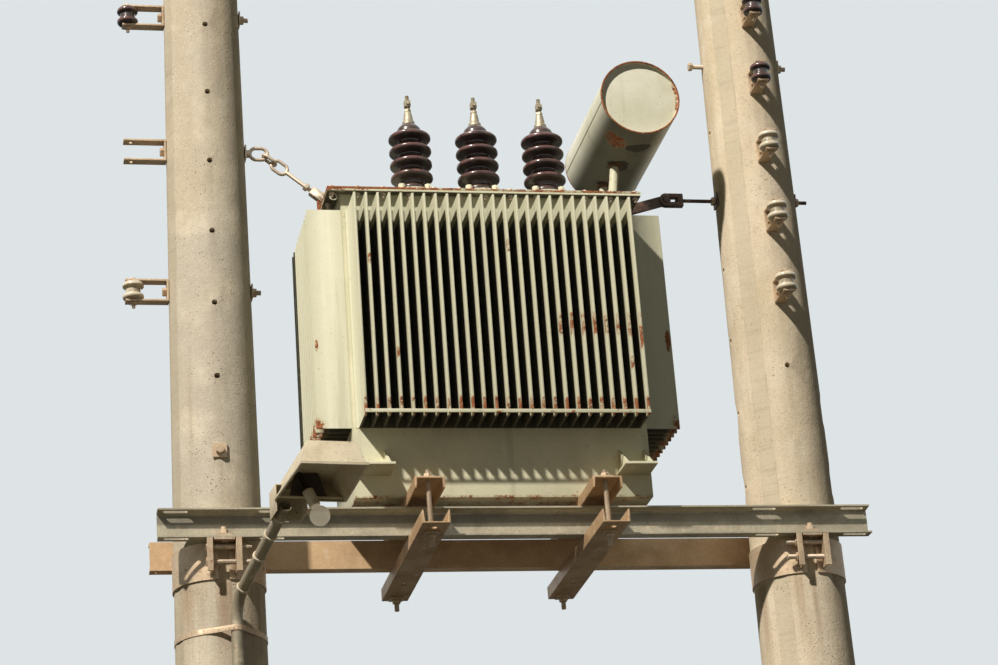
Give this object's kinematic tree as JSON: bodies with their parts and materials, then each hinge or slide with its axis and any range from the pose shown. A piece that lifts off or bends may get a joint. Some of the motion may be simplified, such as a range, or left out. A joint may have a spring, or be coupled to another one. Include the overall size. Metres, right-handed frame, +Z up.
{
  "type": "pole mounted transformer",
  "caption": "Oil-filled distribution transformer with corrugated cooling walls, on a steel platform clamped between two round concrete poles, with ties, insulator brackets and a lamp.",
  "frame": {"origin": "centre of the left pole's foot, at ground level", "axes": "+X from the left pole to the right pole, +Y from the side with the lamp to the back, +Z up"},
  "size_m": [2.8177, 1.5398, 7.5],
  "materials": {
    "concrete": "matte",
    "galvanised": "satin",
    "dark_steel": "matte",
    "tank_paint": "satin",
    "brown_porcelain": "gloss",
    "cream_porcelain": "gloss",
    "terminal_metal": "satin",
    "lamp_paint": "satin",
    "lamp_holder": "satin",
    "bulb": "satin"
  },
  "bodies": {
    "root": {"bearer_lower_left": "galvanised", "bearer_lower_right": "galvanised", "bearer_upper_left": "galvanised", "bearer_upper_right": "galvanised", "bracket_left_empty": "galvanised", "brackets_left": "galvanised", "brackets_right": "galvanised", "clamp_rods": "galvanised", "collar_bolts_left": "galvanised", "collar_bolts_right": "galvanised", "collar_left_inner": "galvanised", "collar_left_outer": "galvanised", "collar_right_inner": "galvanised", "collar_right_outer": "galvanised", "conservator_ends": "tank_paint", "conservator_legs": "tank_paint", "conservator_shell": "tank_paint", "fin_bars": "tank_paint", "fins_back": "tank_paint", "fins_front": "tank_paint", "fins_left": "tank_paint", "fins_right": "tank_paint", "hv_bushing_left": "brown_porcelain", "hv_bushing_middle": "brown_porcelain", "hv_bushing_right": "brown_porcelain", "hv_clamps": "tank_paint", "hv_terminals": "terminal_metal", "jacking_lugs": "tank_paint", "lamp_arm": "galvanised", "lamp_arm_straps": "galvanised", "lamp_bulb": "bulb", "lamp_hood": "lamp_paint", "lamp_socket": "lamp_holder", "lid_lugs": "tank_paint", "lv_bushings": "brown_porcelain", "lv_terminals": "terminal_metal", "platform_beam_back": "galvanised", "platform_beam_front": "galvanised", "pole_bolts_left": "galvanised", "pole_bolts_right": "galvanised", "pole_left": "concrete", "pole_right": "concrete", "seat_bolts": "galvanised", "spool_pins": "galvanised", "spools_left": "cream_porcelain", "spools_right": "cream_porcelain", "tank": "tank_paint", "tank_lid": "tank_paint", "tie_left_clevis": "galvanised", "tie_left_eye": "galvanised", "tie_left_link": "galvanised", "tie_left_rod": "galvanised", "tie_right_fork": "dark_steel", "tie_right_rod": "dark_steel", "tie_right_strap": "dark_steel"}
  },
  "joints": []
}
